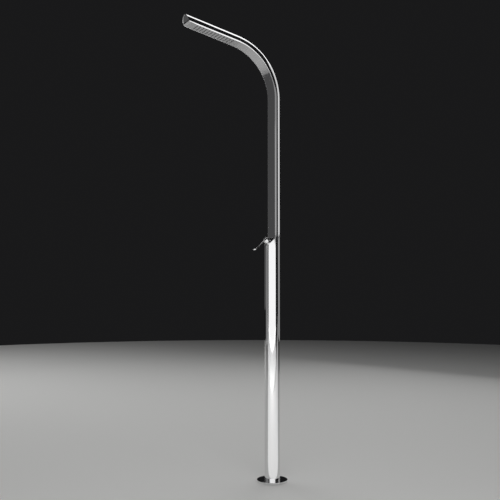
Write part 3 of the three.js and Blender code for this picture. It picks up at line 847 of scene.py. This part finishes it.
def make_hub():
    """The round hub: a hollow ball socket below, and a top that slopes as the lever does."""
    socket_start = math.asin(socket_rim / socket_radius)
    socket_end = math.asin(socket_height / socket_radius)
    piece = turned("lever_cap", (
        (0, pivot_height + socket_height),
        *reversed(arc(socket_radius, pivot_height, socket_start, socket_end, 10)),
        (hub_radius, pivot_height + socket_rim),
        (hub_radius, hub_top + hub_spare),
        (0, hub_top + hub_spare),
    ))
    slope_normal = Vector((0, math.sin(lever_raise), math.cos(lever_raise)))
    trim(piece, everywhere, Vector((0, 0, hub_top - GAP)), slope_normal, fill=True)
    face_out(piece)
    soften(piece, 0.5 * MM, 3, 50)
    settle(piece, mixer_frame)
    finish_piece(piece, "lever", polished_steel, "lever_hub")


def make_lever():
    """A flat bar with a soft knee and a raised lip, its four upright corners rounded."""
    piece = cross_edge("lever_bar", lever_width / 2, 0, 0)
    bpy.ops.transform.translate(value=(0, lever_back, hub_top - lever_back * math.tan(lever_raise)))
    reach = lever_length + lever_back
    draw_on((0, -reach, reach * math.tan(lever_raise)))
    draw_on((0, -lip_reach * math.cos(lip_raise), lip_reach * math.sin(lip_raise)))
    bpy.ops.object.mode_set(mode="OBJECT")
    thicken(piece, lever_thickness, (0, 0, -1))
    tip_y = -lever_length - 6 * MM
    back_y = lever_back - 1 * MM
    bevel_edges(piece, lambda a, b: is_upright(a, b) and not tip_y < a.y < back_y, lever_corner, 8)
    bevel_edges(piece, lambda a, b: is_across(a, b) and abs(a.y + lever_length) < 3 * MM, lever_knee, 10)
    pocket = round_bar("pocket", lever_screw_radius + GAP, hub_top + 2.5 * MM, hub_top + 12 * MM, 64)
    carve(piece, pocket)
    soften(piece, 0.55 * MM, 3, 40)
    settle(piece, mixer_frame)
    finish_piece(piece, "lever", polished_steel, "lever_handle")


def is_upright(a, b):
    """True for an edge that runs through the bar's thickness."""
    return abs(a.x - b.x) < CLOSE and (a - b).length < 1.2 * lever_thickness


def is_across(a, b):
    """True for an edge that runs across the bar's width."""
    return abs(a.x - b.x) > 0.9 * lever_width


def bevel_edges(piece, wanted, width, segments):
    """Rounds the edges whose two ends, taken together, pass the test."""
    only(piece)
    select_edges(piece, wanted)
    bpy.ops.mesh.bevel(offset=width, segments=segments, affect="EDGES")
    bpy.ops.object.mode_set(mode="OBJECT")


def make_lever_screw():
    hex_screw(
        "cap_screw", lever_screw_radius, hub_top + lever_thickness - sinking, lever_screw_depth, 1.7 * MM,
        mixer_frame, "lever", "lever_screw", plain_steel,
    )


# ---------------------------------------------------------------- the foot
def make_rosette():
    """The round floor cover: a thin cap with a rounded edge, open in the middle for the tube."""
    outer = high("floor_rosette", 0)
    inner = tube_radius + 1.5 * GAP
    top = high("floor_rosette", 2)
    underside = top - rosette_wall
    rounding = arc(rosette_edge, top - rosette_edge, 0, math.pi / 2, 10)
    piece = turned("foot_cover", (
        (inner, underside),
        (outer - rosette_wall, underside),
        (outer - rosette_wall, GAP),
        (outer - 0.3 * MM, GAP),
        (outer, GAP + 0.3 * MM),
        *((outer - rosette_edge + r, z) for r, z in rounding),
        (inner + 0.4 * MM, top),
        (inner, top - 0.4 * MM),
    ), 192)
    smooth(piece)
    finish_piece(piece, "column", polished_steel, "floor_rosette")


def foot_screw_frame(angle):
    """Its Z points straight out of the tube's back, turned by an angle."""
    level = Matrix.Translation((0, 0, foot_z + foot_screw_height))
    outward = Matrix.Rotation(math.radians(-90), 4, "X")
    return level @ Matrix.Rotation(math.radians(angle), 4, "Z") @ outward


def make_foot_screws():
    for i, angle in enumerate(foot_screw_angles, 1):
        hex_screw(
            f"set_screw_{i}", foot_screw_radius, tube_radius - 0.5 * MM, foot_screw_depth, 1.7 * MM,
            foot_screw_frame(angle), "column", f"foot_screw_{i}", plain_steel,
        )


# ---------------------------------------------------------------- stage
def make_stage():
    """A round pale floor."""
    clear_selection()
    bpy.ops.mesh.primitive_circle_add(vertices=128, radius=8, fill_type="NGON", location=(0, 0, 0))
    floor = bpy.context.object
    floor.name = "studio_floor"
    material, shader = new_material("pale_floor", roughness=0.85)
    shader.inputs["Base Color"].default_value = (0.66, 0.66, 0.65, 1)
    floor.data.materials.append(material)


def hang_light(name, place, size, brightness):
    """A rectangular soft box that only shows in what it lights and in reflections.

    The brightness is how bright it looks, whatever its size.
    """
    light = bpy.data.lights.new(name, "AREA")
    light.shape = "RECTANGLE"
    light.size, light.size_y = size
    light.energy = brightness * math.pi * size[0] * size[1]
    lamp = bpy.data.objects.new(name, light)
    bpy.context.scene.collection.objects.link(lamp)
    lamp.location = place
    lamp.visible_camera = False
    return lamp


def soft_wall(name, azimuth, distance, bottom, top, width, brightness, aim=None):
    """An upright soft box that faces the column, or leans to face a height on the column's axis.

    Azimuth 0 stands on the -Y side and 90 on the +X side.
    """
    angle = math.radians(azimuth)
    middle = (top + bottom) / 2
    place = Vector((distance * math.sin(angle), -distance * math.cos(angle), middle))
    lamp = hang_light(name, place, (width, top - bottom), brightness)
    facing = Vector((0, 0, middle if aim is None else aim)) - place
    lamp.rotation_euler = facing.to_track_quat("-Z", "Y").to_euler()


def floor_pool(name, place, size, brightness):
    """A soft box that looks straight down and lights only the floor, with no reflection of its own."""
    lamp = hang_light(name, place, size, brightness)
    lamp.visible_glossy = False


def floor_strips(name, azimuth, spread, nearest, farthest, count, brightness):
    """Soft boxes in a row on the floor that face up, so that only what mirrors the floor shows them.

    They grow with their distance from the column, so that they all spread over the same angle.
    """
    angle = math.radians(azimuth)
    growth = (farthest / nearest) ** (1 / count)
    for i in range(count):
        near = nearest * growth ** i
        far = near * growth
        middle = (near + far) / 2
        place = (middle * math.sin(angle), -middle * math.cos(angle), 4 * MM)
        width = 2 * middle * math.tan(math.radians(spread))
        lamp = hang_light(f"{name}_{i + 1}", place, (width, far - near), brightness)
        lamp.rotation_euler = (math.pi, 0, angle)


def make_lights():
    soft_wall("key_low", 63, 4.2, 0.22, 1.4, 11.6, 1.1)
    soft_wall("key_high", 63, 4.2, 1.42, 3.0, 11.6, 0.26)
    soft_wall("key_side", 124, 4.6, 1.42, 3.2, 2.6, 0.26)
    soft_wall("corner_box", 112, 4.4, 3.1, 4.4, 1.0, 1.2)
    soft_wall("fill_box", -22, 4.0, 0.3, 2.9, 3.2, 0.2)
    soft_wall("side_box", -72, 5.0, 0.6, 3.6, 5.0, 0.075)
    soft_wall("rim_low", 200, 4.4, 0.3, 1.4, 6.0, 0.28)
    soft_wall("rim_high", 200, 4.4, 1.42, 5.2, 6.0, 0.7)
    soft_wall("top_box", 243, 2.4, 3.0, 6.2, 4.2, 1.4, aim=1.6)
    floor_strips("near_strip", 75, 80, 0.09, 2.9, 14, 0.42)
    floor_strips("far_strip", 63, 54, 2.9, 7.0, 4, 0.6)
    floor_pool("wide_pool", (-0.5, 0.2, 5.4), (7.0, 7.0), 0.3)
    floor_pool("near_pool", (3.1, -1.6, 2.5), (3.2, 3.2), 2.0)
    floor_pool("side_pool", (-5.0, -2.0, 3.4), (3.6, 3.6), 2.0)
    world = bpy.data.worlds.new("studio")
    bpy.context.scene.world = world
    world.use_nodes = True
    world.node_tree.nodes["Background"].inputs["Color"].default_value = (0.01, 0.01, 0.0105, 1)


make_column()
make_front_plate()
make_spray_plate()
make_nozzle_mat()
make_tip_cap()
make_chamber_screws()
make_valve_plate()
make_collar()
make_hub()
make_lever()
make_lever_screw()
make_rosette()
make_foot_screws()
make_stage()
make_lights()

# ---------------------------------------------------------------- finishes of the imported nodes
finish_of_slot = {
    "polished_steel": polished_steel,
    "satin_steel": satin_steel,
    "plain_steel": plain_steel,
    "rubber": black_rubber,
    "silicone": dark_silicone,
    "brass": machined_brass,
    "steel_braid": steel_braid,
    "cartridge_plastic": white_acetal,
}
for name, node in frame["nodes"].items():
    node.data.materials.clear()
    node.data.materials.append(finish_of_slot[slot_of[name]])

bpy.context.scene.view_settings.view_transform = "Standard"
